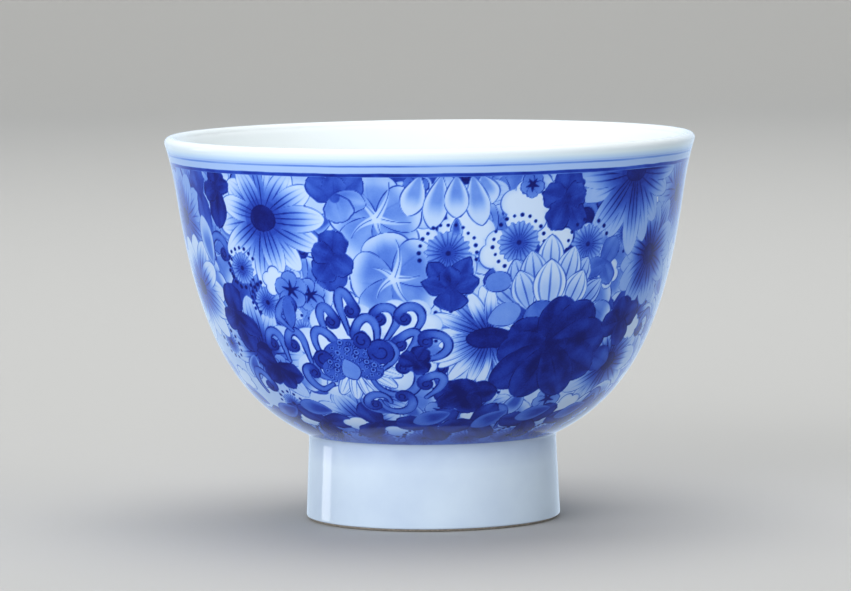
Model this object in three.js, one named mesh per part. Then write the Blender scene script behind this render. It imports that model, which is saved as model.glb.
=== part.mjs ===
// A handleless porcelain teacup, painted in cobalt blue under a clear glaze.
//
// The cup is a stack of closed bodies, in the order in which a potter adds them: the thrown
// bowl, the foot ring luted under it, the cobalt painting and its two rim lines, and the glaze
// that is poured over all of it. Only the standing face of the foot is left bare.
//
// Millimetres, +Z up. The origin is the centre of the foot's standing face.

import * as THREE from 'three';

// Driving dimensions of the finished cup, over the glaze.
const HEIGHT = 61;
const RIM_RADIUS = 42;
const LIP_RADIUS = 0.95;
const FOOT_HEIGHT = 13.45;
const FOOT_TOP_RADIUS = 19.6;
const FOOT_BOTTOM_RADIUS = 20.2;
const FOOT_WIDTH = 3.2;
const FOOT_INSIDE = FOOT_TOP_RADIUS - FOOT_WIDTH;
const FOOT_ROUND = 0.5;

// The wall swells from the foot to the shoulder, and flares a little from there to the lip.
const SHOULDER = new THREE.Vector2(39.75, 49);
const SHOULDER_SLOPE = THREE.MathUtils.degToRad(81.1);
const FOOT_SLOPE = THREE.MathUtils.degToRad(24.8);
const LIP_SLOPE = THREE.MathUtils.degToRad(71.8);
const SWELL_AT_FOOT = 12.2;
const SWELL_AT_SHOULDER = 20.2;
const FLARE_REACH = 3.8;

// Thicknesses.
const WALL_AT_LIP = 1.9;
const WALL_AT_FOOT = 2.7;
const GLAZE = 0.4;
const COBALT = 0.2;

// Heights on the outside of the wall.
const LIP_START = HEIGHT - LIP_RADIUS;
const UPPER_LINE = [58.1, 58.36];
const LOWER_LINE = [56.6, 57.16];
const PAINTED_FIELD = [14.8, 56.4];

// Inside: the wall turns into the floor at this height on the outside, and the floor is a
// shallow dish.
const FLOOR_TURN = 19;
const FLOOR_HEIGHT = 16.2;
const RECESS_HEIGHT = 11.2;

// The foot's glaze stops short of the standing face.
const BARE_EDGE = 0.5;

const SEGMENTS = 32;

const alongSlope = (point, slope, length) =>
  new THREE.Vector2(Math.cos(slope), Math.sin(slope)).multiplyScalar(length).add(point);

const JUNCTION = new THREE.Vector2(FOOT_TOP_RADIUS, FOOT_HEIGHT);
const LIP_OUTSIDE = new THREE.Vector2(RIM_RADIUS, LIP_START);

const swell = new THREE.CubicBezierCurve(
  JUNCTION,
  alongSlope(JUNCTION, FOOT_SLOPE, SWELL_AT_FOOT),
  alongSlope(SHOULDER, SHOULDER_SLOPE, -SWELL_AT_SHOULDER),
  SHOULDER,
);
const flare = new THREE.CubicBezierCurve(
  SHOULDER,
  alongSlope(SHOULDER, SHOULDER_SLOPE, FLARE_REACH),
  alongSlope(LIP_OUTSIDE, LIP_SLOPE, -FLARE_REACH),
  LIP_OUTSIDE,
);

// The place on the outside of the wall at one height, with the normal that points into the
// clay. Both curves only rise, so the height is found by halving.
function wallAt(height) {
  const curve = height > SHOULDER.y ? flare : swell;
  let low = 0;
  let high = 1;
  for (let step = 0; step < 40; step += 1) {
    const middle = (low + high) / 2;
    if (curve.getPoint(middle).y < height) low = middle;
    else high = middle;
  }
  const tangent = curve.getTangent((low + high) / 2);
  return { point: curve.getPoint((low + high) / 2), inward: new THREE.Vector2(-tangent.y, tangent.x) };
}

const below = ({ point, inward }, depth) => inward.clone().multiplyScalar(depth).add(point);

// The lip is a half round between the outside of the wall and its inside.
const LIP_STEPS = 4;
const lipCentre = new THREE.Vector2(RIM_RADIUS - LIP_RADIUS, LIP_START);
function lipAt(turn) {
  const outward = new THREE.Vector2(Math.cos(turn), Math.sin(turn));
  return {
    point: outward.clone().multiplyScalar(LIP_RADIUS).add(lipCentre),
    inward: outward.clone().negate(),
  };
}

// The inside of the wall is the outside moved in by the wall's thickness, which grows steadily
// from the lip to the foot.
function liningAt(height) {
  const outside = wallAt(height);
  const down = (LIP_START - height) / (LIP_START - FLOOR_TURN);
  const thickness = THREE.MathUtils.lerp(WALL_AT_LIP, WALL_AT_FOOT, down);
  return { point: below(outside, thickness), inward: outside.inward.clone().negate() };
}

// The floor runs on from the lining and comes level at the axis.
const FLOOR_STEPS = 5;
const turnPoint = liningAt(FLOOR_TURN);
const turnSlope = turnPoint.inward.x / -turnPoint.inward.y;
const kneeRadius = turnPoint.point.x - (turnPoint.point.y - FLOOR_HEIGHT) / turnSlope;
const floor = new THREE.QuadraticBezierCurve(
  turnPoint.point,
  new THREE.Vector2(kneeRadius, FLOOR_HEIGHT),
  new THREE.Vector2(0, FLOOR_HEIGHT),
);
function floorAt(fraction) {
  const tangent = floor.getTangent(fraction);
  return { point: floor.getPoint(fraction), inward: new THREE.Vector2(-tangent.y, tangent.x) };
}

// Places along the finished surface. Neighbouring bodies share them, so they meet exactly.
const fieldHeights = [PAINTED_FIELD[0], 16.4, 19, 22.8, 28, 34.5, 42, 49, 53, PAINTED_FIELD[1]];
const lipTurns = Array.from({ length: LIP_STEPS / 2 }, (_, step) => ((step + 1) * Math.PI) / LIP_STEPS);
const liningHeights = [LIP_START, 55, 49, 42, 34.5, 28, 22.8];
const floorFractions = Array.from({ length: FLOOR_STEPS + 1 }, (_, step) => step / FLOOR_STEPS);

const field = fieldHeights.map(wallAt);
const lineBands = [LOWER_LINE, UPPER_LINE].map((band) => band.map(wallAt));
const lipOutside = [wallAt(LIP_START), ...lipTurns.map(lipAt)];
const crest = lipOutside.at(-1);
const inside = [
  ...lipTurns.slice(0, -1).map((turn) => lipAt(Math.PI - turn)),
  ...liningHeights.map(liningAt),
  ...floorFractions.map(floorAt),
];
const junction = wallAt(FOOT_HEIGHT);

const atDepth = (places, depth) => places.map((place) => below(place, depth));
const onAxis = (points) => points.map(({ x, y }) => new THREE.Vector2(Math.abs(x) < 1e-6 ? 0 : x, y));

// A profile runs anticlockwise in the (radius, height) plane and closes on itself or on the axis.
function turned(name, profile, colour, roughness) {
  const points = onAxis(profile);
  const onItself = points[0].x > 0;
  const geometry = new THREE.LatheGeometry(onItself ? [...points, points[0].clone()] : points, SEGMENTS);
  geometry.rotateX(Math.PI / 2);
  const finish = new THREE.MeshStandardMaterial({ color: colour, roughness, metalness: 0 });
  const mesh = new THREE.Mesh(geometry, finish);
  mesh.name = name;
  return mesh;
}

const UNDER_COBALT = GLAZE + COBALT;

// The clay of the bowl: under the painting outside, under the lining inside.
function bowlBody() {
  const outside = atDepth([...field, ...lineBands.flat(), ...lipOutside], UNDER_COBALT);
  const lining = atDepth(inside, GLAZE);
  const underside = [
    new THREE.Vector2(0, RECESS_HEIGHT),
    new THREE.Vector2(FOOT_INSIDE, RECESS_HEIGHT),
    new THREE.Vector2(FOOT_INSIDE, FOOT_HEIGHT - UNDER_COBALT),
    below(junction, UNDER_COBALT),
  ];
  return turned('bowl_body', [...underside, ...outside, ...lining], '#eef1f2', 0.5);
}

// The clay of the foot ring, which splays a little towards the table.
const footSide = (height) =>
  THREE.MathUtils.lerp(FOOT_BOTTOM_RADIUS, FOOT_TOP_RADIUS, Math.min(1, height / FOOT_HEIGHT));

function footRing() {
  const collar = below(junction, UNDER_COBALT);
  return turned('foot_ring', [
    new THREE.Vector2(FOOT_INSIDE + FOOT_ROUND, 0),
    new THREE.Vector2(footSide(0) - GLAZE - FOOT_ROUND, 0),
    new THREE.Vector2(footSide(BARE_EDGE) - GLAZE, BARE_EDGE),
    new THREE.Vector2(collar.x, RECESS_HEIGHT),
    collar,
    new THREE.Vector2(FOOT_INSIDE, FOOT_HEIGHT - UNDER_COBALT),
    new THREE.Vector2(FOOT_INSIDE, BARE_EDGE),
  ], '#e6dfd0', 0.8);
}

// The glaze over the outside of the wall. Where nothing is painted it reaches the clay.
function wallGlaze() {
  const outer = atDepth([...field, ...lineBands.flat(), ...lipOutside], 0);
  const inner = [
    ...atDepth(lipOutside, UNDER_COBALT).reverse(),
    ...[...lineBands].reverse().flatMap(([low, high]) => [
      below(high, UNDER_COBALT), below(high, GLAZE), below(low, GLAZE), below(low, UNDER_COBALT),
    ]),
    below(field.at(-1), UNDER_COBALT),
    ...atDepth(field, GLAZE).reverse(),
  ];
  return turned('wall_glaze', [...outer, ...inner], '#dfeaf6', 0.05);
}

// The glaze that lines the bowl, from the crest of the lip to the middle of the floor.
function liningGlaze() {
  const top = atDepth([crest, ...inside], 0);
  const bottom = atDepth(inside, GLAZE).reverse();
  return turned('lining_glaze', [...bottom, below(crest, UNDER_COBALT), ...top], '#f6f8f8', 0.05);
}

// The glaze on the foot, pooled in the angle where the foot meets the bowl.
function footGlaze() {
  const collar = below(junction, UNDER_COBALT);
  return turned('foot_glaze', [
    new THREE.Vector2(footSide(BARE_EDGE) - GLAZE, BARE_EDGE),
    new THREE.Vector2(footSide(BARE_EDGE), BARE_EDGE + GLAZE),
    new THREE.Vector2(footSide(RECESS_HEIGHT), RECESS_HEIGHT),
    junction.point.clone(),
    field[0].point.clone(),
    below(field[0], UNDER_COBALT),
    collar,
    new THREE.Vector2(collar.x, RECESS_HEIGHT),
  ], '#d3e2f2', 0.05);
}

// The glaze in the recess under the bowl: its ceiling and the inside of the ring.
function recessGlaze() {
  return turned('recess_glaze', [
    new THREE.Vector2(0, RECESS_HEIGHT - GLAZE),
    new THREE.Vector2(FOOT_INSIDE - GLAZE, RECESS_HEIGHT - GLAZE),
    new THREE.Vector2(FOOT_INSIDE - GLAZE, BARE_EDGE + GLAZE),
    new THREE.Vector2(FOOT_INSIDE, BARE_EDGE),
    new THREE.Vector2(FOOT_INSIDE, RECESS_HEIGHT),
    new THREE.Vector2(0, RECESS_HEIGHT),
  ], '#e4ecf2', 0.05);
}

// A coat of cobalt between the clay and the glaze, over one stretch of the wall.
function cobaltCoat(name, places, colour) {
  return turned(name, [...atDepth(places, GLAZE), ...atDepth(places, UNDER_COBALT).reverse()], colour, 0.4);
}

const teacup = new THREE.Group();
teacup.add(
  bowlBody(),
  footRing(),
  cobaltCoat('floral_painting', field, '#3a55b4'),
  cobaltCoat('rim_line_lower', lineBands[0], '#1d2f8c'),
  cobaltCoat('rim_line_upper', lineBands[1], '#4d5f8e'),
  wallGlaze(),
  liningGlaze(),
  footGlaze(),
  recessGlaze(),
);

export default teacup;
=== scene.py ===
"""A handleless porcelain teacup, painted all round with blue flowers under a clear glaze.

The cup's whole surface is one outline turned about +Z: recess, foot, wall, lip, lining, floor.
Each new piece is a stretch of that outline, made as a thin closed shell round the clay body. The
painting is laid down in script, one brush shape over another, as an amount of cobalt at each
point of the wall; the wall's material turns that amount into colour and puts the glaze over it.

Lengths are in millimetres until a mesh is made. The studio's are in metres.
"""

import math

import bmesh
import bpy
import numpy as np
from mathutils import Matrix, Vector


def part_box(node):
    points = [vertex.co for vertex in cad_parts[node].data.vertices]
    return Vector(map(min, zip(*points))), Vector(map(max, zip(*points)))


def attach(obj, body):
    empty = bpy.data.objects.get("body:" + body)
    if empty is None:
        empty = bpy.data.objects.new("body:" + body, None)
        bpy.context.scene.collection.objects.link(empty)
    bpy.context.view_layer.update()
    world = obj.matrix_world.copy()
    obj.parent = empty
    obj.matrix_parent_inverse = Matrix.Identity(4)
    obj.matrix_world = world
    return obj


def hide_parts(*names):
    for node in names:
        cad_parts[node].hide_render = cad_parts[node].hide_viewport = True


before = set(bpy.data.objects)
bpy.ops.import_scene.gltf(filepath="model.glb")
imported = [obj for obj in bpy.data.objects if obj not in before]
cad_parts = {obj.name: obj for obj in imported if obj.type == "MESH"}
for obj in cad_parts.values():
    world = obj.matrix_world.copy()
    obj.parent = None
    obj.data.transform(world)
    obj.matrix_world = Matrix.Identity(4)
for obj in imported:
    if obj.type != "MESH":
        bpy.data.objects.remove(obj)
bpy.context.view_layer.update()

MM = 0.001
SEED = 7

# ---------------------------------------------------------------- sizes, from the frame


def corners(node):
    """The lowest and highest corners of a CAD node, in millimetres."""
    return [[length / MM for length in corner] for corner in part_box(node)]


RIM_RADIUS, _, HEIGHT = corners("wall_glaze")[1]
RECESS_RADIUS, _, RECESS_TOP = corners("recess_glaze")[1]
BARE_EDGE = corners("foot_glaze")[0][2]
LOWER_LINE = [corner[2] for corner in corners("rim_line_lower")]
UPPER_LINE = [corner[2] for corner in corners("rim_line_upper")]
FIELD_TOP = LOWER_LINE[0]

# ---------------------------------------------------------------- sizes, of the shells

# How thick the shells are.
GLAZE = 0.3
LINING_GLAZE = 0.15

LIP_RADIUS = 0.95

# The wall: (radius, height) of its shoulder, and for each end of its two stretches, the degrees
# above level that it heads in and how far it holds that heading.
SHOULDER = (39.75, 49.0)
LEAVES_FOOT = (24.8, 12.2)
REACHES_SHOULDER = (81.1, 20.2)
LEAVES_SHOULDER = (81.1, 3.8)
REACHES_LIP = (71.8, 3.8)

# The wall thickens from the lip down to where the floor turns in.
WALL_AT_LIP = 1.9
WALL_AT_FLOOR = 2.7
FLOOR_TURN = 19.0
FLOOR_HEIGHT = 16.2
HUB_RADIUS = 0.3

# The foot widens downwards, and its top FOOT_TURN millimetres turn into the wall. The recess
# narrows by RECESS_LEAN up to the rounded corner of its ceiling.
FOOT_HEIGHT = 13.45
FOOT_TOP_RADIUS = 19.6
FOOT_BOTTOM_RADIUS = 20.2
FOOT_TURN = 1.2
RECESS_CORNER = 1.0
RECESS_LEAN = 0.4

# The ring is bare below this height. The glaze ends there in a lip that stands out and rises.
BARE_TOP = BARE_EDGE - 0.1
LIP_OUT = 0.25
LIP_RISE = 0.3

# The strip between the rim lines is tinted this much, and the tint fades to white on the lip.
STRIP_TONE = 0.2
TINT_STARTS = UPPER_LINE[1] + 0.25
TINT_ENDS = HEIGHT - 0.2

# ---------------------------------------------------------------- the outline


def polar(degrees, length):
    """A step of some length, at an angle above level."""
    return length * np.array([math.cos(math.radians(degrees)), math.sin(math.radians(degrees))])


def bezier(points, count):
    """A Bezier curve of any degree through its first and last control points."""
    t = np.linspace(0, 1, count)[:, None]
    curve = np.zeros((count, 2))
    degree = len(points) - 1
    for k, point in enumerate(points):
        curve += math.comb(degree, k) * (1 - t) ** (degree - k) * t**k * np.asarray(point)
    return curve


def arc(centre, radius, start, stop, count):
    """An arc between two angles in degrees."""
    return np.array([np.asarray(centre) + polar(a, radius) for a in np.linspace(start, stop, count)])


def outward(points):
    """The unit normal on the right of a line of (radius, height) points."""
    along = np.gradient(points, axis=0)
    along /= np.linalg.norm(along, axis=1)[:, None]
    return np.stack([along[:, 1], -along[:, 0]], axis=1)


def wall_outline():
    """The outside of the wall: a swell from the foot to the shoulder, then a slight flare."""
    foot = np.array([FOOT_TOP_RADIUS, FOOT_HEIGHT])
    shoulder = np.array(SHOULDER)
    lip = np.array([RIM_RADIUS, HEIGHT - LIP_RADIUS])
    swell = [foot, foot + polar(*LEAVES_FOOT), shoulder - polar(*REACHES_SHOULDER), shoulder]
    flare = [shoulder, shoulder + polar(*LEAVES_SHOULDER), lip - polar(*REACHES_LIP), lip]
    return np.vstack([bezier(swell, 300), bezier(flare, 90)[1:]])


def lining_outline(wall):
    """The inside: the wall moved in by its thickness, then the dish of the floor."""
    side = wall[wall[:, 1] >= FLOOR_TURN][::-1]
    down = np.linspace(0, 1, len(side))[:, None]
    inside = side + outward(side) * (WALL_AT_LIP + (WALL_AT_FLOOR - WALL_AT_LIP) * down)
    slope = np.diff(inside[-2:], axis=0)[0]
    knee = inside[-1] + slope * (FLOOR_HEIGHT - inside[-1][1]) / slope[1]
    return np.vstack([inside, bezier([inside[-1], knee, (HUB_RADIUS, FLOOR_HEIGHT)], 120)[1:]])


def distances(points):
    """How far along a line each of its points is."""
    return np.concatenate([[0], np.cumsum(np.linalg.norm(np.diff(points, axis=0), axis=1))])


def points_at(points, run, marks):
    """The points at some distances along a line; run is the distances of its own points."""
    return np.stack([np.interp(marks, run, points[:, axis]) for axis in (0, 1)], axis=1)


def respaced(points, step):
    """The same line with a point about every step millimetres."""
    run = distances(points)
    return points_at(points, run, np.linspace(0, run[-1], max(2, round(run[-1] / step) + 1)))


wall = wall_outline()
wall_run = distances(wall)


def run_at(height):
    """How far up the wall's outline a height is."""
    return np.interp(height, wall[:, 1], wall_run)


def radius_at(run):
    return np.interp(run, wall_run, wall[:, 0])


# ---------------------------------------------------------------- shells

SHARP_ANGLE = math.radians(40)


def shell(name, rows, turns, depth, coarse, ring, hub=None):
    """A closed shell: a fine face along rows of (radius, height), and a coarse back under it.

    rows runs with the air on its right. turns are angles from -Y towards +X. The back is depth
    under the face, with a point for every so many rows and turns, as coarse says. A ring goes all
    the way round; otherwise the shell has two flat cheeks. hub is the end of rows, 0 or -1, that
    is at the axis and is closed with a small disc on each side.
    """
    normals = outward(rows)
    back_rows = [*range(0, len(rows) - 1, coarse[0]), len(rows) - 1]
    back_turns = list(range(0, len(turns), coarse[1]))
    if not ring and back_turns[-1] != len(turns) - 1:
        back_turns.append(len(turns) - 1)

    def place(line, angles):
        radius = line[:, 0][:, None]
        x = radius * np.sin(angles)
        y = -radius * np.cos(angles)
        z = np.broadcast_to(line[:, 1][:, None], x.shape)
        return np.stack([x, y, z], axis=2).reshape(-1, 3)

    beneath = (rows - normals * depth)[back_rows]
    points = np.vstack([place(rows, turns), place(beneath, turns[back_turns])]) * MM
    front_count = len(rows) * len(turns)

    def front(i, j):
        return i * len(turns) + j % len(turns)

    def back(i, j):
        return front_count + i * len(back_turns) + j % len(back_turns)

    def quads(index, row_count, turn_count, flip):
        i = np.arange(row_count - 1)[:, None]
        j = np.arange(turn_count if ring else turn_count - 1)[None, :]
        square = [index(i, j), index(i, j + 1), index(i + 1, j + 1), index(i + 1, j)]
        stacked = np.stack([np.broadcast_to(c, (i.size, j.size)) for c in square], axis=2)
        return (stacked[:, :, ::-1] if flip else stacked).reshape(-1, 4).tolist()

    faces = quads(front, len(rows), len(turns), False)
    faces += quads(back, len(back_rows), len(back_turns), True)
    steps = len(back_turns) if ring else len(back_turns) - 1
    ends = {0: (0, 0, True), -1: (len(rows) - 1, len(back_rows) - 1, False)}
    ends.pop(hub, None)
    for row, back_row, flip in ends.values():
        for j in range(steps):
            start = back_turns[j]
            stop = back_turns[j + 1] if j + 1 < len(back_turns) else len(turns)
            face = [front(row, k) for k in range(start, stop + 1)]
            face += [back(back_row, j + 1), back(back_row, j)]
            faces.append(face[::-1] if flip else face)
    if not ring:
        cheeks = ((0, 0, False), (len(turns) - 1, len(back_turns) - 1, True))
        for column, back_column, flip in cheeks:
            face = [front(i, column) for i in range(len(rows))]
            face += [back(i, back_column) for i in reversed(range(len(back_rows)))]
            faces.append(face[::-1] if flip else face)
    mesh = bpy.data.meshes.new(name)
    mesh.from_pydata(points.tolist(), [], faces)
    if hub is not None:
        fill_holes(mesh)
    mesh.shade_smooth()
    mesh.set_sharp_from_angle(angle=SHARP_ANGLE)
    piece = bpy.data.objects.new(name, mesh)
    bpy.context.collection.objects.link(piece)
    return piece


def fill_holes(mesh):
    """Closes each ring of edges that a hub leaves open."""
    work = bmesh.new()
    work.from_mesh(mesh)
    bmesh.ops.holes_fill(work, edges=[edge for edge in work.edges if edge.is_boundary])
    work.to_mesh(mesh)
    work.free()


# ---------------------------------------------------------------- the painting's canvas

# The painting repeats twice round the cup, so the canvas is half a turn, and wraps. Its columns
# are the panels' own, and its rows are about CELL apart up the wall, from FIELD_LOW.
PANELS = 6
PANEL_COLUMNS = 288
CELL = 0.152
FIELD_LOW = 0.4
COLUMNS = PANEL_COLUMNS * PANELS // 2
TURN_STEP = math.pi / COLUMNS

# Cobalt tones are from 0, none, to 1, the darkest. LINE and INK are an outline's width and tone.
# A shape that slopes less than GENTLEST_SLOPE would get too wide an outline, so it counts as that.
BARE_TONE = 0.17
LINE = 0.17
INK = 0.78
GENTLEST_SLOPE = 0.25

field_run = run_at(FIELD_TOP)
field_rows = np.linspace(FIELD_LOW, field_run, round((field_run - FIELD_LOW) / CELL))
ROW_STEP = field_rows[1] - field_rows[0]
field_radius = radius_at(field_rows)
cobalt = np.full((len(field_rows), COLUMNS), BARE_TONE)
chance = np.random.default_rng(SEED)


def smooth(low, high, value):
    t = np.clip((value - low) / (high - low), 0, 1)
    return t * t * (3 - 2 * t)


def brush_pressure(x, y):
    """A slow wave over a motif, about 1, for the brush's changing pressure."""
    return 1 + 0.35 * np.sin(1.3 * x + 2.1 * np.sin(0.9 * y))


class Patch:
    """The part of the canvas round one motif, with the motif's own x and y on it."""

    def __init__(self, angle, height, reach):
        middle = run_at(height)
        self.rows = np.nonzero(np.abs(field_rows - middle) <= reach)[0]
        radius = field_radius[self.rows][:, None]
        half = min(math.ceil(reach / radius.min() / TURN_STEP), COLUMNS // 2 - 1)
        column = round(math.radians(angle) / TURN_STEP)
        offset = np.arange(-half, half + 1)
        self.columns = (column + offset) % COLUMNS
        self.x = (offset * TURN_STEP + column * TURN_STEP - math.radians(angle)) * radius
        self.y = np.broadcast_to((field_rows[self.rows] - middle)[:, None], self.x.shape)
        self.step = radius * TURN_STEP
        self.cells = np.ix_(self.rows, self.columns)

    def lay(self, inside, tone, line=LINE, ink=INK, strength=1.0):
        """Paints where inside is above zero, and draws the edge with a fine line."""
        rise, run = np.gradient(inside)
        distance = inside / np.maximum(np.hypot(run / self.step, rise / ROW_STEP), GENTLEST_SLOPE)
        cover = np.clip(0.5 + distance / CELL, 0, 1) * strength
        paint = cobalt[self.cells]
        paint = paint * (1 - cover) + tone * cover
        if line:
            half = line / 2 * brush_pressure(self.x, self.y)
            stroke = np.clip(0.5 + (half - np.abs(distance)) / CELL, 0, 1)
            paint = np.maximum(paint, stroke * ink)
        cobalt[self.cells] = paint


# ---------------------------------------------------------------- brush shapes


def petal_shape(patch, heading, length, width, blunt=0.6, belly=1.25, root=0.0):
    """A petal from the middle outwards: how far inside it, and the places along and across it."""
    cos, sin = math.cos(math.radians(heading)), math.sin(math.radians(heading))
    along = (patch.x * cos + patch.y * sin - root) / (length - root)
    across = patch.y * cos - patch.x * sin
    swell = np.sin(math.pi * np.clip(along, 1e-4, 1 - 1e-4) ** belly) ** blunt
    half = width / 2 * np.maximum(swell, 0.02)
    outside = np.maximum(-along, along - 1) * length
    inside = np.where(outside > 0, -np.maximum(outside, np.abs(across) - half), half - np.abs(across))
    return inside, np.clip(along, 0, 1), across / half


def veins(along, across, count, fade=0.8, sharp=0.55):
    """Fine lines that run up a petal and fade before its tip."""
    line = np.clip((np.cos(across * math.pi * count) - sharp) / (1 - sharp), 0, 1)
    return line * (1 - smooth(fade * 0.5, fade, along)) * (np.abs(across) < 0.86)


def trail(heading, length, bend, count):
    """A line that starts straight and winds up towards its end."""
    t = np.linspace(0, 1, count)
    angle = np.radians(heading + bend * t**1.6)
    step = length / (count - 1)
    x = np.concatenate([[0], np.cumsum(np.cos(angle[:-1]) * step)])
    y = np.concatenate([[0], np.cumsum(np.sin(angle[:-1]) * step)])
    return np.stack([x, y], axis=1)


def ribbon_shape(patch, line, widths):
    """A band of changing width along a line: how far inside it, and the place along it."""
    best = np.full(patch.x.shape, -1e3)
    place = np.zeros(patch.x.shape)
    for k in range(len(line) - 1):
        (x0, y0), (x1, y1) = line[k], line[k + 1]
        dx, dy = x1 - x0, y1 - y0
        t = np.clip(((patch.x - x0) * dx + (patch.y - y0) * dy) / (dx * dx + dy * dy + 1e-9), 0, 1)
        distance = np.hypot(patch.x - x0 - t * dx, patch.y - y0 - t * dy)
        inside = (widths[k] + t * (widths[k + 1] - widths[k])) / 2 - distance
        place = np.where(inside > best, (k + t) / (len(line) - 1), place)
        best = np.maximum(best, inside)
    return best, place


def round_shape(patch, x, y, radius, tall=1.0):
    return radius - np.hypot(patch.x - x, (patch.y - y) / tall)


def lobed_shape(patch, width, height, lobes, phase):
    """An oval with a scalloped edge: how far inside it, and how near its edge."""
    angle = np.arctan2(patch.y / height, patch.x / width)
    distance = np.hypot(patch.x / width, patch.y / height)
    lobe = np.abs(np.cos(lobes * (angle - math.radians(phase)) / 2)) ** 0.7
    edge = 0.76 + 0.24 * lobe
    return (edge - distance) * min(width, height), distance / edge


# ---------------------------------------------------------------- motifs


def offset_to(base, tip):
    """How far across and up from one place to another. A place is (degrees, height)."""
    middle = run_at((base[1] + tip[1]) / 2)
    return math.radians(tip[0] - base[0]) * radius_at(middle), run_at(tip[1]) - run_at(base[1])


def daisy(angle, height, size, petals, disc, squash=1.0, deep=0.7, tip=0.08):
    """A daisy with pale-tipped petals, veined from a dark disc that squash flattens."""
    patch = Patch(angle, height, size * 1.2)
    daisy_petals(patch, size, petals, deep, tip)
    patch.lay(round_shape(patch, 0, 0, disc * 1.5, squash), deep + 0.1, line=0, strength=0.45)
    patch.lay(round_shape(patch, 0, 0, disc, squash), 0.93, line=0.3, ink=0.98)


def daisy_petals(patch, size, petals, deep, tip, first=0.0, sweep=360.0, strands=4.2):
    """A fan of petals in random order, of the tone deep at their roots and tip at their ends."""
    headings = first + sweep * np.arange(petals) / petals
    for k in chance.permutation(petals):
        heading = headings[k] + chance.uniform(-5, 5)
        length = size * chance.uniform(0.84, 1.1)
        width = 2 * math.pi * size / 360 * sweep / petals * chance.uniform(0.78, 0.98)
        inside, along, across = petal_shape(patch, heading, length, width, 0.5, 1.4)
        reach = chance.uniform(0.7, 1.0)
        wash = tip + (deep - tip) * (1 - smooth(0.25, reach, along + 0.1 * across**2))
        tone = wash + 0.36 * veins(along, across, strands, reach + 0.1)
        patch.lay(inside, tone, line=0.15, ink=0.66)


def gapped_flower(angle, height, size, turn, tone):
    """Five broad petals, and pale arms that curve out between them."""
    patch = Patch(angle, height, size * 1.25)
    for k in range(5):
        heading = turn + 72 * k
        length = size * chance.uniform(0.92, 1.12)
        inside, along, across = petal_shape(patch, heading, length, size * 1.06, 0.4, 1.5)
        rim = 1 - smooth(0.6, 1.0, along + 0.15 * np.abs(across))
        fold = 0.07 * np.cos(across * 5 + 1.5 * k) + 0.1 * np.clip(1 - np.abs(across - 0.3) / 0.06, 0, 1)
        patch.lay(inside, tone * (0.35 + 0.65 * rim) + fold * (1 - along), line=0.18, ink=0.82)
    for k in range(5):
        length = size * chance.uniform(0.4, 0.9)
        line = trail(turn + 36 + 72 * k, length, chance.uniform(25, 60), 8)
        inside, along = ribbon_shape(patch, line, np.linspace(size * 0.19, 0.05, 8))
        patch.lay(inside, 0.08 + 0.2 * along, line=0, strength=0.9)
        patch.lay(ribbon_shape(patch, line + 0.12, np.full(8, 0.12))[0], 0.75, line=0, strength=0.8)


def stamen_flower(angle, height, size, dots, start=0.0, stop=360.0):
    """A round flower of fine filaments, with an arc of dots round it."""
    patch = Patch(angle, height, size * 1.7)
    heading = np.arctan2(patch.y, patch.x)
    distance = np.hypot(patch.x, patch.y)
    fray = size * (0.93 + 0.09 * np.cos(heading * 17 + 1) * np.cos(heading * 5))
    glow = 0.76 - 0.42 * smooth(0.05, 1.0, distance / size)
    ray = np.clip((np.cos(heading * 23 + 0.9 * np.cos(heading * 4)) - 0.2) / 0.8, 0, 1)
    tone = glow + 0.24 * ray * smooth(0.15, 0.4, distance / size)
    patch.lay(fray - distance, tone, line=0.1, ink=0.7)
    patch.lay(0.4 - distance, 0.95, line=0)
    for k in range(dots):
        turn = math.radians(start + (stop - start) * k / max(dots - 1, 1))
        reach = size * chance.uniform(1.2, 1.28)
        x, y = reach * math.cos(turn), reach * math.sin(turn)
        patch.lay(round_shape(patch, x, y, chance.uniform(0.24, 0.34)), 0.96, line=0)


def blossom(angle, height, size, lobes, turn, tall=1.0, tone=0.03, ink=0.74):
    """A white flower with a scalloped edge."""
    patch = Patch(angle, height, size * 1.3 * max(tall, 1))
    inside, nearness = lobed_shape(patch, size, size * tall, lobes, turn)
    patch.lay(inside, tone + 0.1 * smooth(0.7, 1, nearness), line=0.18, ink=ink)


def star(angle, height, size, turn, tone=0.56):
    """Five short rounded petals round a dark crossed middle."""
    patch = Patch(angle, height, size * 1.25)
    for k in range(5):
        inside, along, _ = petal_shape(patch, turn + 72 * k, size, size * 0.95, 0.4, 1.5)
        patch.lay(inside, tone - 0.16 * along, line=0.18, ink=0.88)
    for k in range(5):
        line = trail(turn + 72 * k, size * 0.55, 0, 3)
        patch.lay(ribbon_shape(patch, line, [0.7, 0.45, 0.12])[0], 0.95, line=0)


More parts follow.
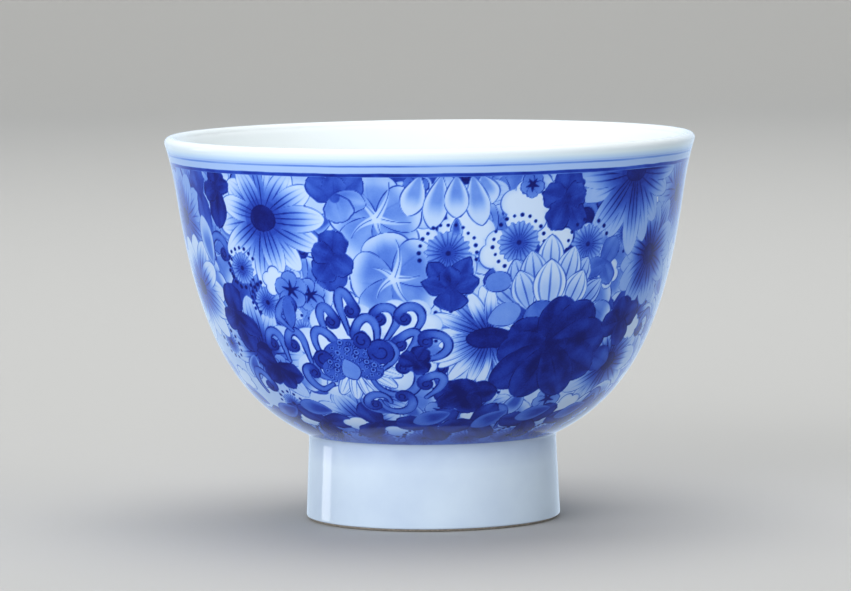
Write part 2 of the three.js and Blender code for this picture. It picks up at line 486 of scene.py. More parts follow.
def leaf(angle, height, lobes, tone=0.84, tooth=0.1, pale=(), blunt=0.5):
    """A dark leaf of brushed lobes. Each lobe is (heading, length, width), and pale lists the
    numbers of the lobes that are washed thin."""
    longest = max(length for _, length, _ in lobes)
    patch = Patch(angle, height, longest * 1.15)
    distance = np.hypot(patch.x, patch.y)
    teeth = tooth * np.cos(14 * np.arctan2(patch.y, patch.x) + 0.8 * distance) * smooth(1, 3, distance)
    for k, (heading, length, width) in enumerate(lobes):
        inside, along, across = petal_shape(patch, heading, length, width, blunt, 1.3, -0.12 * length)
        brush = np.cos(across * 6 + k) + np.cos(5 * along - 3 * across + 2 * k)
        rib = np.clip(1 - np.abs(across) / 0.07, 0, 1) * (1 - along)
        lobe_tone = tone - (0.26 if k in pale else 0.0)
        wash = lobe_tone - 0.08 * smooth(0.3, 0.9, along) + 0.03 * brush + 0.12 * rib
        patch.lay(inside + teeth, wash, line=0.2, ink=min(tone + 0.12, 1.0))
    patch.lay(0.16 * longest - distance, tone + 0.04, line=0, strength=0.7)


HOOK_WIDTH = 1.35
HOOK_BULB = 1.55


def hook(base, top, end):
    """A scrolled petal: a stem, a round turn over its top, and a dark rolled end."""
    reach = math.hypot(*offset_to(base, top)) + math.hypot(*offset_to(top, end)) + HOOK_WIDTH
    patch = Patch(*base, reach)
    over, tail = np.array(offset_to(base, top)), np.array(offset_to(base, end))
    rise = (over - tail / 2) / np.linalg.norm(over - tail / 2)
    side = np.array([rise[1], -rise[0]])
    side *= np.sign(side @ (tail - over))
    tall = max((over - tail) @ rise, 0.6)
    wide = max((tail - over) @ side, 0.6)

    def round_the(centre, across, up, start, stop, count):
        turn = np.radians(np.linspace(start, stop, count))[:, None]
        return centre + across * np.cos(turn) * side + up * np.sin(turn) * rise

    arch = round_the(over - rise * tall, wide, tall, 180, 0, 14)
    roll = round_the(arch[-1] - side * wide * 0.35, wide * 0.35, wide * 0.35, 0, -130, 6)
    stem = bezier([(0, 0), arch[0] - rise * 0.5 * np.linalg.norm(arch[0]), arch[0]], 8)
    line = respaced(np.vstack([stem[:-1], arch[:-1], roll]), 0.35)
    t = np.linspace(0, 1, len(line))
    swell = (0.5 + 0.5 * smooth(0, 0.5, t)) * (1 + (HOOK_BULB - 1) * smooth(0.8, 1, t))
    inside, along = ribbon_shape(patch, line, HOOK_WIDTH * swell)
    shade = 0.6 - 0.07 * smooth(0.1, 0.5, inside) + 0.28 * smooth(0.7, 1, along)
    patch.lay(inside, shade, line=0.24, ink=0.94)
    swirl = round_the(line[-1], HOOK_WIDTH * 0.36, HOOK_WIDTH * 0.36, 60, -210, 9)
    patch.lay(ribbon_shape(patch, swirl, np.full(9, 0.16))[0], 0.98, line=0)


def pod(angle, height, heading, length, width, tone=0.3, blunt=0.6, belly=1.2, ink=0.76, fan=0.0,
        heart=0.0):
    """One loose petal. fan draws veins in it and heart deepens its middle."""
    patch = Patch(angle, height, length * 1.15)
    inside, along, across = petal_shape(patch, heading, length, width, blunt, belly)
    middle = (1 - smooth(0.1, 0.52, np.abs(along - 0.34))) * (1 - smooth(0.3, 0.9, np.abs(across)))
    wash = tone + heart * middle + fan * veins(along, across, 3.0, 1.3, 0.7)
    patch.lay(inside, wash, ink=ink)


def petal_to(base, tip, width, **style):
    """A loose petal from one place to another."""
    across, up = offset_to(base, tip)
    pod(*base, math.degrees(math.atan2(up, across)), math.hypot(across, up), width, **style)


def knot(angle, height, size, turn):
    """A rolled petal seen end on: a dark round with a spiral in it."""
    patch = Patch(angle, height, size * 1.4)
    patch.lay(round_shape(patch, 0, 0, size), 0.8, line=0.26, ink=0.98)
    t = np.linspace(0, 1, 14)
    heading = math.radians(turn) + 1.5 * math.pi * t
    line = np.stack([np.cos(heading), np.sin(heading)], axis=1) * (size * (0.68 - 0.4 * t))[:, None]
    patch.lay(ribbon_shape(patch, line, np.full(14, 0.2))[0], 0.98, line=0)


GOLDEN_ANGLE = math.radians(137.5)


def pips(angle, height, wide, tall, count):
    """The dotted middle of a chrysanthemum: small rings with dots in them."""
    patch = Patch(angle, height, max(wide, tall) * 1.3)
    patch.lay(round_shape(patch, 0, 0, wide, tall / wide), 0.66, line=0.2, ink=0.9)
    for k in range(count):
        spread = math.sqrt((k + 0.5) / count)
        turn = k * GOLDEN_ANGLE
        x, y = wide * 0.92 * spread * math.cos(turn), tall * 0.92 * spread * math.sin(turn)
        size = 0.38 if k % 3 else 0.52
        patch.lay(round_shape(patch, x, y, size), 0.5, line=0.18, ink=0.96)
        patch.lay(round_shape(patch, x, y, size * 0.4), 0.98, line=0)


# ---------------------------------------------------------------- the painting

# Many of the places and leaf shapes below were measured on the reference photograph by a scratch
# program, then adjusted by hand, so the layout is that cup's own and isn't generic.


def scattered(count, low, tall, across_from, up_from):
    """Places spread evenly over the canvas, by steps of the golden and the plastic ratio."""
    for k in range(count):
        angle = 180 * ((k * 0.618034 + across_from) % 1.0) - 90
        yield k, angle, low + tall * ((k * 0.754878 + up_from) % 1.0)


def paint_ground():
    """Flowers and scrolls under everything, so that little bare ground is left."""
    for k, angle, height in scattered(60, 15.0, 42, 0.0, 0.3):
        if k % 3 == 0:
            daisy(angle, height, chance.uniform(7, 9), 12, 1.6, deep=0.78, tip=0.2)
        elif k % 3 == 1:
            gapped_flower(angle, height, chance.uniform(5.5, 7), chance.uniform(0, 72), 0.5)
        else:
            leaf(angle, height, [(h + 20 * k, 5.5, 4.5) for h in (0, 110, 235)], 0.76)
    for k, angle, height in scattered(90, 15.5, 41, 0.4, 0.0):
        kind = k % 5
        if kind == 0:
            blossom(angle, height, chance.uniform(2.2, 3.0), 5, chance.uniform(0, 72), tone=0.08)
        elif kind == 1:
            pod(angle, height, chance.uniform(0, 360), 5.5, 3.2, tone=0.36, heart=0.3)
        elif kind == 2:
            side = chance.choice([-1, 1])
            hook((angle, height), (angle + 2 * side, height + 3.6), (angle + 6 * side, height + 1.6))
        elif kind == 3:
            star(angle, height, chance.uniform(2.0, 2.8), chance.uniform(0, 72))
        else:
            stamen_flower(angle, height, chance.uniform(1.8, 2.4), 14)


def paint_hanging_petals():
    """A flower that hangs from the rim line."""
    for root, tip in (
        (11.0, (13.5, 52.5)),
        (-2.0, (-5.0, 50.8)),
        (9.0, (11.4, 49.2)),
        (2.6, (0.2, 48.8)),
        (5.7, (5.7, 50.4)),
    ):
        petal_to((root, 57), tip, 3.8, tone=0.12, blunt=0.62, belly=1.35, heart=0.3)
    petal_to((5.7, 50.4), (5.7, 46.8), 1.8, tone=0.3, heart=0.4)


def paint_lotus():
    """Upright pointed petals, pale and finely veined, from the back to the front."""
    for base, tip, width, tone in (
        ((28.2, 40.0), (28.0, 47.4), 4.6, 0.1),
        ((22.6, 38.0), (19.2, 43.8), 4.2, 0.24),
        ((34.0, 38.0), (38.6, 43.6), 4.2, 0.24),
        ((25.4, 37.6), (23.2, 45.0), 4.6, 0.18),
        ((31.6, 37.6), (34.4, 45.4), 4.6, 0.14),
        ((37.0, 35.5), (43.6, 40.0), 3.8, 0.26),
        ((21.0, 36.4), (14.6, 40.0), 3.4, 0.24),
        ((24.4, 35.5), (20.4, 42.0), 4.4, 0.16),
        ((33.6, 35.0), (37.6, 41.6), 4.6, 0.12),
        ((28.9, 35.0), (28.4, 43.6), 5.8, 0.08),
    ):
        petal_to(base, tip, width, tone=tone, blunt=0.75, belly=1.15, fan=0.42, heart=0.14)


def paint_upper():
    daisy(-74, 49.0, 9.0, 12, 1.3, tip=0.32)
    leaf(-62, 53.5, [(-80, 7.0, 4.0), (100, 4.0, 5.0)], 0.74)
    blossom(-3.0, 53.0, 4.5, 5, 10, tone=0.14, ink=0.5)
    blossom(8.0, 48.6, 4.4, 6, 0, tone=0.05, ink=0.5)
    gapped_flower(-11.8, 50.4, 7.0, 92, 0.42)
    gapped_flower(-8.4, 41.2, 7.4, 104, 0.46)
    star(-3.0, 55.4, 2.0, 10, 0.66)
    paint_hanging_petals()
    blossom(16.0, 45.0, 3.6, 4, 20)
    blossom(29.0, 47.6, 3.4, 3, 80)
    blossom(21.5, 51.8, 4.4, 5, 90)
    star(22.5, 55.2, 2.0, 54, 0.6)
    daisy(-40, 50.0, 10.6, 15, 2.45, 0.82)
    leaf(-21.0, 53.6, [(150, 5.2, 4.0), (35, 5.4, 4.4), (90, 3.4, 4.0), (-12, 5.0, 3.4), (-75, 4.0, 5.0)],
         0.72, pale=(3, 4))
    leaf(-22.8, 44.4, [(80, 4.2, 5.0), (-100, 5.4, 5.6), (235, 4.6, 4.4), (-40, 3.8, 4.0), (160, 3.4, 3.6)],
         0.8)
    leaf(-54.5, 54.4, [(-95, 6.4, 4.4), (80, 3.2, 4.4), (10, 3.4, 2.6), (200, 3.6, 3.4)], 0.9)
    daisy(74, 52, 9.0, 12, 1.3, tip=0.3)
    daisy(61, 43.0, 9.2, 13, 1.7, 0.95, deep=0.8, tip=0.3)
    daisy(51, 56.5, 12.4, 16, 2.4, 0.72, deep=0.78, tip=0.26)
    leaf(31.0, 52.8, [(85, 4.6, 5.6), (165, 4.2, 4.2), (-58, 5.6, 4.4), (-115, 5.2, 4.2), (20, 3.6, 4.0)],
         0.82, 0.2)
    stamen_flower(3.9, 45.0, 3.6, 15, -14, 194)
    stamen_flower(20.0, 46.4, 3.4, 22)
    stamen_flower(37.9, 45.6, 3.2, 18)
    leaf(43.5, 42.5, [(60, 4.5, 3.8), (-60, 4.0, 3.0), (200, 4.0, 3.4)], 0.62)
    paint_lotus()


def paint_half_daisy():
    """A daisy that the big leaf half hides, with a long dark middle."""
    size = 9.4
    petals = Patch(14.5, 32.0, size * 1.2)
    daisy_petals(petals, size, 17, deep=0.74, tip=0.08, first=88, sweep=250, strands=2.8)
    middle = Patch(14.5, 31.6, 5)
    middle.lay(round_shape(middle, 0, 0, 3.6, 0.48), 0.95, line=0.3, ink=1.0)
    pod(13.6, 34.2, 22, 5.6, 3.8, tone=0.42, blunt=0.5, ink=0.8)
    petal_to((12.6, 40.2), (18.6, 40.6), 3.2, tone=0.5, blunt=0.32, belly=1.0, ink=0.95)


def paint_big_leaf():
    """The largest leaf, whose first lobe is pale."""
    leaf(31.5, 29.4, [
        (118, 9.0, 7.0), (150, 8.4, 6.6), (82, 8.8, 7.2), (180, 8.8, 6.6), (45, 10.0, 7.4), (10, 11.2, 7.6),
        (-145, 10.4, 6.8), (-25, 10.6, 7.4), (-112, 9.4, 6.6), (-62, 10.0, 6.4),
    ], 0.92, 0.0, pale=(0,))


def paint_lower():
    daisy(-72, 38.0, 9.5, 13, 1.3)
    pod(-61, 42.0, 100, 8.0, 4.0, tone=0.2, heart=0.3)
    paint_half_daisy()
    paint_big_leaf()
    leaf(54.6, 33.0, [(20, 4.8, 4.4), (190, 4.6, 4.6), (-70, 4.8, 4.0), (100, 4.0, 4.4)], 0.9)
    leaf(8.6, 22.6, [(165, 4.6, 4.4), (5, 5.4, 4.4), (-60, 4.4, 4.4), (80, 3.0, 5.0), (215, 4.2, 3.6)], 0.95)
    leaf(4.6, 39.4, [(128, 5.6, 3.4), (60, 5.8, 3.4), (165, 4.6, 3.0), (20, 4.6, 3.2), (-90, 3.6, 5.0),
                     (96, 3.8, 3.4)], 0.82, 0.08, blunt=0.85)
    leaf(-55.5, 34.4, [(95, 5.2, 5.0), (-80, 6.4, 4.4), (-35, 5.4, 3.4), (200, 4.2, 4.0)], 0.9)
    leaf(-46.5, 26.2, [(140, 4.4, 4.0), (-15, 5.0, 3.8), (-60, 4.2, 3.4), (220, 3.6, 4.0)], 0.94)
    stamen_flower(-49.0, 42.0, 2.6, 12, 30, 250)
    stamen_flower(-42.5, 36.8, 2.7, 12, 20, 200)
    blossom(-39.0, 40.2, 2.5, 5, 20, tone=0.05)
    star(-34.6, 39.0, 3.0, 20, 0.6)


def paint_chrysanthemum():
    """Hooked petals all round a dotted middle that is edged with rolled ones."""
    blossom(-20, 29.0, 11.0, 9, 0, 0.8, tone=0.05, ink=0.3)
    blossom(-6, 34.0, 5.5, 6, 0, 0.8, tone=0.05, ink=0.3)
    for heading in range(200, 341, 20):
        pod(-20.0, 28.0, heading, 7.4, 2.4, tone=0.1, blunt=0.45, fan=0.4)
    for base, top, end in (
        ((-20.5, 32.4), (-21.5, 39.1), (-18.6, 36.4)),
        ((-26.2, 31.4), (-26.7, 36.6), (-23.9, 34.6)),
        ((-11.4, 31.4), (-9.4, 36.4), (-13.6, 35.8)),
        ((-4.4, 32.4), (-3.4, 36.6), (-7.6, 35.8)),
        ((-7.2, 29.0), (-3.6, 32.6), (-8.4, 31.4)),
        ((-3.4, 28.2), (4.3, 31.0), (-0.9, 32.4)),
        ((-14.2, 30.0), (-15.4, 35.0), (-19.2, 32.6)),
        ((-13.0, 26.8), (-9.6, 30.4), (-15.4, 30.2)),
        ((-29.0, 28.4), (-29.4, 32.8), (-24.2, 30.6)),
        ((-27.4, 24.8), (-32.0, 27.4), (-28.3, 28.8)),
        ((-40.4, 27.6), (-43.6, 32.3), (-45.9, 30.4)),
        ((-33.2, 27.6), (-36.8, 32.5), (-39.0, 30.4)),
        ((-28.6, 24.1), (-35.4, 24.4), (-35.5, 26.6)),
        ((-16.4, 25.2), (-9.0, 22.6), (-3.5, 26.4)),
        ((-1.6, 22.2), (2.9, 25.6), (-2.2, 25.1)),
        ((-15.4, 21.6), (-9.9, 19.8), (-5.7, 21.9)),
        ((-12.3, 21.4), (-16.4, 22.6), (-19.4, 21.1)),
        ((-36.6, 32.6), (-38.6, 36.4), (-35.5, 37.4)),
    ):
        hook(base, top, end)
    pips(-21.0, 28.8, 4.7, 2.9, 30)
    knot(-29.2, 28.0, 1.7, 90)
    knot(-13.0, 29.6, 2.1, 200)
    knot(-17.6, 31.3, 1.4, 120)
    pips(-26.8, 26.5, 2.0, 1.9, 9)
    pips(-16.4, 26.7, 2.0, 1.9, 9)
    petal_to((-23.2, 28.4), (-20.8, 25.0), 3.2, tone=0.46, blunt=0.7, ink=0.95)
    leaf(-4.3, 27.8, [(60, 3.2, 3.2), (150, 2.6, 3.0), (-40, 2.4, 3.0)], 0.95)
    pod(-36.5, 33.0, 88, 5.0, 2.3, tone=0.62, blunt=0.45, ink=0.95)


def paint_foot():
    """Half-hidden flowers and leaves next to the foot."""
    for angle in range(-90, 90, 18):
        turn = chance.uniform(-40, 40)
        leaf(angle + chance.uniform(-4, 4), 17.5, [(h + turn, 5.4, 3.8) for h in (20, 150, 265)], 0.88)
        pod(angle + chance.uniform(2, 8), 19.5, 180 + turn, 6.0, 3.4, tone=0.55, heart=0.2)
        blossom(angle + chance.uniform(6, 12), chance.uniform(15.6, 18.0), 2.6, 4, turn, 0.7)
        stamen_flower(angle + chance.uniform(10, 15), 15.0, 2.6, 13, 10, 170)


def deepened(full, gone, amount):
    """The painting darkened by an amount that is full at one distance up the wall and gone at another: a
    wash of cobalt, which near the foot is partly painted shade.
    """
    depth = 1 - smooth(0, 1, (field_rows - full) / (gone - full))[:, None]
    return cobalt + amount * depth * (1 - cobalt)


paint_ground()
paint_foot()
paint_upper()
paint_lower()
paint_chrysanthemum()
# Darker towards the foot: a deeper cobalt wash, and painted shade where the wall turns down to the foot.
cobalt = deepened(2.0, 9.0, 0.53)
cobalt = deepened(field_run, field_run - 1.2, 0.12)
cobalt = np.clip(cobalt, 0, 1)

# ---------------------------------------------------------------- materials


def new_material(name):
    material = bpy.data.materials.new(name)
    material.use_nodes = True
    tree = material.node_tree
    return material, tree, tree.nodes["Principled BSDF"]


def add(tree, kind, settings=(), **inputs):
    """A node with its properties and inputs set; an input given as a socket is linked."""
    node = tree.nodes.new(kind)
    for key, value in settings:
        setattr(node, key, value)
    for key, value in inputs.items():
        socket = node.inputs[int(key[1:])] if key[1:].isdigit() else node.inputs[key.replace("_", " ")]
        if isinstance(value, bpy.types.NodeSocket):
            tree.links.new(value, socket)
        else:
            socket.default_value = value
    return node


def object_place(tree):
    """Where the shaded point is, in metres."""
    return add(tree, "ShaderNodeTexCoord").outputs["Object"]


def height_of(tree):
    return add(tree, "ShaderNodeSeparateXYZ", Vector=object_place(tree)).outputs["Z"]


def noise(tree, scale, detail=3.0):
    """Noise over the object; scale is in marks per millimetre."""
    texture = add(tree, "ShaderNodeTexNoise", Vector=object_place(tree), Scale=scale / MM, Detail=detail)
    return texture.outputs["Fac"]


def math_node(tree, operation, a, b=0.0, clamp=False):
    node = add(tree, "ShaderNodeMath", (("operation", operation), ("use_clamp", clamp)), _0=a, _1=b)
    return node.outputs[0]


def scaled(tree, value, factor, plus, clamp=False):
    """value times factor, plus a number."""
    settings = (("operation", "MULTIPLY_ADD"), ("use_clamp", clamp))
    return add(tree, "ShaderNodeMath", settings, _0=value, _1=factor, _2=plus).outputs[0]


def map_range(tree, value, low, high, top=1.0, kind="LINEAR"):
    """How far value is from low to high, as a number from 0 to top."""
    node = add(tree, "ShaderNodeMapRange", (("interpolation_type", kind),), Value=value)
    for name, number in (("From Min", low), ("From Max", high), ("To Max", top)):
        node.inputs[name].default_value = number
    return node.outputs[0]


def ramp(tree, value, stops):
    node = add(tree, "ShaderNodeValToRGB", Fac=value)
    node.color_ramp.interpolation = "B_SPLINE" if len(stops) > 4 else "LINEAR"
    while len(node.color_ramp.elements) < len(stops):
        node.color_ramp.elements.new(0.5)
    for element, (position, colour) in zip(node.color_ramp.elements, stops):
        element.position = position
        element.color = (*from_srgb(colour), 1)
    return node.outputs["Color"]


def from_srgb(colour):
    return [(c / 255 / 12.92) if c <= 10 else ((c / 255 + 0.055) / 1.055) ** 2.4 for c in colour]


def colour_by(tree, shader, value, stops):
    tree.links.new(ramp(tree, value, stops), shader.inputs["Base Color"])


GLAZED = {"Roughness": 0.25, "IOR": 1.5, "Specular IOR Level": 0.0, "Coat Weight": 1.0, "Coat IOR": 1.45}


def glaze_over(tree, shader, softness=0.03):
    """A clear poured glaze, slightly uneven, over a fired surface."""
    for name, value in GLAZED.items():
        shader.inputs[name].default_value = value
    shader.inputs["Coat Roughness"].default_value = softness
    ripple = noise(tree, scale=0.12, detail=2.0)
    bump = add(tree, "ShaderNodeBump", Height=ripple, Strength=0.03, Distance=0.4 * MM)
    tree.links.new(bump.outputs["Normal"], shader.inputs["Coat Normal"])


COBALT_STOPS = (
    (0.0, (206, 225, 249)),
    (0.16, (172, 202, 246)),
    (0.34, (119, 162, 238)),
    (0.52, (72, 116, 219)),
    (0.7, (38, 73, 190)),
    (0.86, (19, 40, 151)),
    (1.0, (8, 12, 90)),
)


def painted_material():
    """Cobalt that soaks in unevenly, under the glaze."""
    material, tree, shader = new_material("painted_porcelain")
    amount = add(tree, "ShaderNodeAttribute", (("attribute_name", "cobalt"),)).outputs["Fac"]
    wash = scaled(tree, noise(tree, scale=0.4), factor=0.3, plus=0.86)
    grain = scaled(tree, noise(tree, scale=4.0, detail=2.0), factor=0.14, plus=0.94)
    washed = math_node(tree, "MULTIPLY", amount, wash)
    colour_by(tree, shader, math_node(tree, "MULTIPLY", washed, grain, clamp=True), COBALT_STOPS)
    glaze_over(tree, shader)
    return material


def line_material(name, band, tone, fading, under=0.0):
    """A hand-turned line: its edges waver and its blue is uneven.

    fading is how far the blue comes and goes round the cup, and under is the tone below the line.
    """
    material, tree, shader = new_material(name)
    middle = (band[0] + band[1]) / 2
    half = (band[1] - band[0]) / 2
    wobble = math_node(tree, "MULTIPLY", math_node(tree, "SUBTRACT", noise(tree, scale=0.15), 0.5), half)
    height = math_node(tree, "ADD", math_node(tree, "MULTIPLY", height_of(tree), 1 / MM), wobble)
    above = math_node(tree, "SUBTRACT", height, middle)
    inside = math_node(tree, "SUBTRACT", half * 1.1, math_node(tree, "ABSOLUTE", above))
    cover = math_node(tree, "MULTIPLY", inside, 1 / (half * 0.5), clamp=True)
    if under:
        ground = math_node(tree, "MULTIPLY", math_node(tree, "LESS_THAN", above, 0.0), under / tone)
        cover = math_node(tree, "MAXIMUM", cover, ground)
    uneven = scaled(tree, noise(tree, scale=0.4, detail=4.0), factor=0.6, plus=0.7)
    pressure = scaled(tree, noise(tree, scale=0.07, detail=1.0), factor=2 * fading, plus=1 - fading)
    stroke = math_node(tree, "MULTIPLY", math_node(tree, "MULTIPLY", cover, uneven), pressure)
    colour_by(tree, shader, scaled(tree, stroke, tone, STRIP_TONE, clamp=True), COBALT_STOPS)
    glaze_over(tree, shader)
    return material


FOOT_WHITE = (210, 227, 244)
FOOT_SHADE = (194, 212, 234)
RECESS_WHITE = (232, 240, 247)
RECESS_SHADE = (218, 230, 242)
# Painted shade under the bowl: the foot's glaze is darkened from this height up to the foot's top.
UNDER_BOWL_SHADE_FROM = FOOT_HEIGHT - 4.0


def white_glaze_material(name, colour, shade, shaded_from=None):
    """White porcelain under glaze. The last argument is the height from which painted shade darkens it
    upwards, towards the bowl above.
    """
    material, tree, shader = new_material(name)
    paleness = noise(tree, scale=0.08, detail=4.0)
    if shaded_from:
        # Painted shade: the glaze is darker towards the foot's top, under the bowl.
        under_bowl_shade = map_range(tree, height_of(tree), shaded_from * MM, FOOT_HEIGHT * MM, top=-0.6)
        paleness = math_node(tree, "ADD", paleness, under_bowl_shade)
    deepest = tuple(2 * low - high for low, high in zip(shade, colour))
    colour_by(tree, shader, paleness, ((0.0, deepest), (0.3, shade), (0.7, colour)))
    glaze_over(tree, shader, softness=0.09)
    return material


LINING_STOPS = (
    (0.0, (238, 244, 246)),
    (0.6, (220, 239, 253)),
    (1.0, (170, 206, 250)),
)


def lip_material():
    """White glaze that runs on from the tinted strip between the rim lines."""
    material, tree, shader = new_material("lining_glaze")
    fade = map_range(tree, height_of(tree), TINT_STARTS * MM, TINT_ENDS * MM)
    here = object_place(tree)
    level = add(tree, "ShaderNodeVectorMath", (("operation", "MULTIPLY"),), _0=here, _1=(1, 1, 0))
    radius = add(tree, "ShaderNodeVectorMath", (("operation", "LENGTH"),), _0=level.outputs[0])
    outside = math_node(tree, "GREATER_THAN", radius.outputs["Value"], (RIM_RADIUS - LIP_RADIUS) * MM)
    tint = math_node(tree, "MULTIPLY", math_node(tree, "SUBTRACT", 1.0, fade), outside)
    colour_by(tree, shader, tint, LINING_STOPS)
    glaze_over(tree, shader)
    return material


def bare_shaded_material():
    """The unglazed standing ring: dry, warm and slightly gritty, its clay darkened as painted shade for the
    shadow where it stands.
    """
    material, tree, shader = new_material("bare_foot")
    grit = noise(tree, scale=3.0, detail=5.0)
    # Painted shade: the clay's grey-brown is darkened for the contact shadow at the ring.
    colour_by(tree, shader, grit, ((0.3, (112, 105, 98)), (0.7, (160, 153, 143))))
    shader.inputs["Roughness"].default_value = 0.85
    bump = add(tree, "ShaderNodeBump", Height=grit, Strength=0.4, Distance=0.1 * MM)
    tree.links.new(bump.outputs["Normal"], shader.inputs["Normal"])
    return material


def clay_material():
    """The fired porcelain under the glaze."""
    material, tree, shader = new_material("porcelain")
    colour_by(tree, shader, noise(tree, scale=2.0), ((0.3, (225, 226, 224)), (0.7, (238, 238, 236))))
    shader.inputs["Roughness"].default_value = 0.6
    return material


# ---------------------------------------------------------------- pieces


def finish_piece(piece, material, slot, *nodes):
    piece.data.materials.append(material)
    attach(piece, "root")
    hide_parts(*nodes)


def painted_wall():
    """The painted field, in panels that carry the amount of cobalt at each of their points."""
    material = painted_material()
    rows = points_at(wall, wall_run, field_rows)
    for k in range(PANELS):
        columns = np.arange(PANEL_COLUMNS + 1) + k * PANEL_COLUMNS
        piece = shell(f"painted_wall_{k + 1}", rows, columns * TURN_STEP, GLAZE, (20, 16), ring=False)
        amount = np.zeros(len(piece.data.vertices), dtype=np.float32)
        front = cobalt[:, columns % COLUMNS].ravel()
        amount[: len(front)] = front
        layer = piece.data.attributes.new("cobalt", "FLOAT", "POINT")
        layer.data.foreach_set("value", amount)
        finish_piece(piece, material, "cobalt_painting", "floral_painting", "wall_glaze")


RING = np.linspace(0, 2 * math.pi, 384, endpoint=False)


def wall_between(low, high):
    """The wall's outline between two heights, with a point about every 0.2 mm."""
    start, stop = run_at(low), run_at(high)
    return points_at(wall, wall_run, np.linspace(start, stop, max(3, round((stop - start) / 0.2))))


BETWEEN_LINES = (LOWER_LINE[1] + UPPER_LINE[0]) / 2


def lower_rim_line():
    rows = wall_between(FIELD_TOP, BETWEEN_LINES)
    line = shell("lower_rim_line", rows, RING, GLAZE, (8, 4), ring=True)
    material = line_material("cobalt_line", LOWER_LINE, tone=0.56, fading=0.4, under=0.34)
    finish_piece(line, material, "cobalt_line", "rim_line_lower")


def upper_rim_line():
    rows = wall_between(BETWEEN_LINES, TINT_STARTS)
    line = shell("upper_rim_line", rows, RING, GLAZE, (8, 4), ring=True)
    material = line_material("cobalt_line_pale", UPPER_LINE, tone=0.2, fading=1.3)
    finish_piece(line, material, "cobalt_line_pale", "rim_line_upper")


def glazed_lining():
    """The lip, and the inside down to a small disc at the middle of the floor."""
    rows = np.vstack([
        wall_between(TINT_STARTS, HEIGHT - LIP_RADIUS)[:-1],
        arc((RIM_RADIUS - LIP_RADIUS, HEIGHT - LIP_RADIUS), LIP_RADIUS, 8, 172, 24),
        respaced(lining_outline(wall), 0.6)[1:],
    ])
    lining = shell("glazed_lining", rows, RING, LINING_GLAZE, (1, 4), ring=True, hub=-1)
    finish_piece(lining, lip_material(), "lining_glaze", "lining_glaze")


def foot_radius(height):
    """The radius of the foot's glazed side at a height."""
    return FOOT_BOTTOM_RADIUS - (FOOT_BOTTOM_RADIUS - FOOT_TOP_RADIUS) * height / FOOT_HEIGHT


CLAY_RADIUS = foot_radius(BARE_TOP) - LIP_OUT


def bare_foot_ring():
    """The standing ring, with both of its corners rounded."""
    outline = np.vstack([
        arc((RECESS_RADIUS + BARE_TOP, BARE_TOP), BARE_TOP, 180, 270, 8),
        arc((CLAY_RADIUS - BARE_TOP, BARE_TOP), BARE_TOP, 270, 360, 8),
    ])
    ring = shell("bare_foot_ring", respaced(outline, 0.12), RING, GLAZE, (6, 4), ring=True)
    finish_piece(ring, bare_shaded_material(), "bare_foot", "foot_ring")


def glazed_foot():
    """The foot's side, from the glaze's lower lip up to the turn into the wall."""
    low = BARE_TOP + LIP_RISE
    high = FOOT_HEIGHT - FOOT_TURN
    wall_start = wall[np.searchsorted(wall_run, FIELD_LOW)]
    turn = [(foot_radius(high), high), (foot_radius(FOOT_HEIGHT), FOOT_HEIGHT + 0.1), wall_start]
    outline = np.vstack([
        [(CLAY_RADIUS, BARE_TOP)],
        arc((CLAY_RADIUS, BARE_TOP + LIP_OUT), LIP_OUT, 285, 360, 6),
        [(foot_radius(low), low)],
        bezier(turn, 12),
    ])
    glaze = shell("glazed_foot", respaced(outline, 0.15), RING, GLAZE, (8, 4), ring=True)
    material = white_glaze_material("foot_glaze", FOOT_WHITE, FOOT_SHADE, UNDER_BOWL_SHADE_FROM)
    finish_piece(glaze, material, "foot_glaze", "foot_glaze")


def glazed_recess():
    """The hollow in the foot, from the middle of its ceiling down to the bare ring."""
    ceiling = RECESS_TOP - GLAZE
    corner = (RECESS_RADIUS - RECESS_LEAN - RECESS_CORNER, ceiling - RECESS_CORNER)
    outline = np.vstack([
        [(HUB_RADIUS, ceiling)],
        arc(corner, RECESS_CORNER, 90, 0, 10),
        [(RECESS_RADIUS - LIP_OUT, BARE_TOP + LIP_RISE)],
        [(RECESS_RADIUS, BARE_TOP)],
    ])
    recess = shell("glazed_recess", respaced(outline, 0.25), RING, GLAZE, (6, 4), ring=True, hub=0)
    material = white_glaze_material("recess_glaze", RECESS_WHITE, RECESS_SHADE)
    finish_piece(recess, material, "recess_glaze", "recess_glaze")


def clay_body():
    """The CAD node of the bowl, which stays and gets its own material."""
    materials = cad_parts["bowl_body"].data.materials
    materials.clear()
    materials.append(clay_material())


painted_wall()
lower_rim_line()
upper_rim_line()
glazed_lining()
bare_foot_ring()
glazed_foot()
glazed_recess()
clay_body()

# ---------------------------------------------------------------- stage, light and camera


PAPER = (193, 192, 189)


def sheet_material():
    """Matt pale paper."""
    material, _, shader = new_material("studio_sheet")
    shader.inputs["Base Color"].default_value = (*from_srgb(PAPER), 1)
    shader.inputs["Roughness"].default_value = 0.7
    shader.inputs["Specular IOR Level"].default_value = 0.3
    return material


def studio():
    """A pale sheet that lies flat and turns up behind. It doesn't show in the glaze."""
    half_width, front, bend, back, tall = 4.0, -3.0, 1.2, 2.0, 2.5
    turn = [(bend + math.sin(a) * (back - bend), (1 - math.cos(a)) * (back - bend))
            for a in np.linspace(0, math.pi / 2, 24)]
    line = [(front, 0.0), *turn, (back, tall)]
    points = [(side * half_width, y, z) for y, z in line for side in (-1, 1)]
    faces = [(2 * k, 2 * k + 1, 2 * k + 3, 2 * k + 2) for k in range(len(line) - 1)]
    mesh = bpy.data.meshes.new("studio_sheet")
    mesh.from_pydata(points, [], faces)
    mesh.shade_smooth()
    mesh.materials.append(sheet_material())
    sheet = bpy.data.objects.new("studio_sheet", mesh)
    bpy.context.collection.objects.link(sheet)
    sheet.visible_glossy = False


CUP_MIDDLE = (0, 0, HEIGHT * MM / 2)


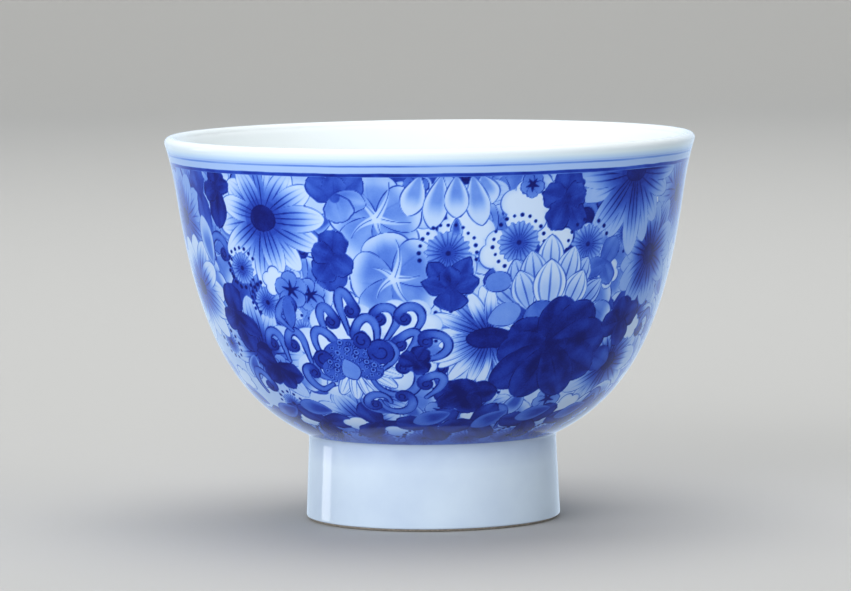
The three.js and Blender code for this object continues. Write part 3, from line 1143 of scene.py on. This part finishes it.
def area_light(name, place, size, power, kind="both", aim=CUP_MIDDLE):
    """A lamp. kind says whether it lights surfaces, shows in the glaze, or both."""
    data = bpy.data.lights.new(name, "AREA")
    data.shape = "RECTANGLE"
    data.size, data.size_y = size
    data.energy = power
    lamp = bpy.data.objects.new(name, data)
    lamp.location = place
    lamp.rotation_euler = (Vector(aim) - Vector(place)).to_track_quat("-Z", "Y").to_euler()
    lamp.visible_camera = False
    lamp.visible_glossy = kind != "fill"
    lamp.visible_diffuse = kind != "sheen"
    bpy.context.collection.objects.link(lamp)


def lights():
    """Soft lamps. Most of the streak is below the sheet, through which the glaze still sees it."""
    area_light("top_box", (0, 0.2, 1.1), (1.0, 1.0), 9.5)
    area_light("front_fill", (-0.75, -1.26, 0.5), (1.9, 1.0), 24.3, "fill")
    area_light("backdrop", (0, 0.4, 1.4), (2.4, 0.6), 14, "fill", aim=(0, 2, 0.9))
    area_light("right_fill", (1.25, -0.35, 0.5), (0.8, 0.8), 3.7, "fill")
    area_light("left_streak", (-0.82, 0.37, -0.03), (0.22, 0.12), 0.24, "sheen")


DIM_SKY = (120, 124, 126)
BRIGHT_SKY = (216, 235, 255)


def surroundings():
    """An even dim sky that is bright behind the cup, where the glaze's edges reflect it."""
    world = bpy.data.worlds.new("studio")
    world.use_nodes = True
    tree = world.node_tree
    heading = add(tree, "ShaderNodeTexCoord").outputs["Generated"]
    toward = add(tree, "ShaderNodeSeparateXYZ", Vector=heading)
    behind = map_range(tree, toward.outputs["Y"], 0.45, 1.0, kind="SMOOTHSTEP")
    above = map_range(tree, toward.outputs["Z"], -0.9, -0.45, kind="SMOOTHSTEP")
    glow = ramp(tree, math_node(tree, "MULTIPLY", behind, above), ((0.0, DIM_SKY), (1.0, BRIGHT_SKY)))
    sky = tree.nodes["Background"]
    sky.inputs["Strength"].default_value = 1.08
    tree.links.new(glow, sky.inputs["Color"])
    bpy.context.scene.world = world


def camera():
    """A long lens in front of the cup, a little above its rim and leaning very slightly."""
    distance, height = 0.85, 0.1089
    down, lean, pan = math.radians(4.952), math.radians(-0.61), math.radians(-0.06)
    forward = Vector((math.sin(pan) * math.cos(down), math.cos(pan) * math.cos(down), -math.sin(down)))
    level = Vector((math.cos(pan), -math.sin(pan), 0))
    up = level.cross(forward)
    right = level * math.cos(lean) + up * math.sin(lean)
    top = up * math.cos(lean) - level * math.sin(lean)
    data = bpy.data.cameras.new("camera")
    data.sensor_width = 36
    data.lens = 227.2
    data.clip_start = 0.01
    view = bpy.data.objects.new("camera", data)
    view.matrix_world = Matrix.Translation((0, -distance, height)) @ Matrix(
        (right, top, -forward)).transposed().to_4x4()
    bpy.context.collection.objects.link(view)
    bpy.context.scene.camera = view


studio()
lights()
surroundings()
camera()
settings = bpy.context.scene.view_settings
settings.view_transform = "Standard"
settings.look = "None"
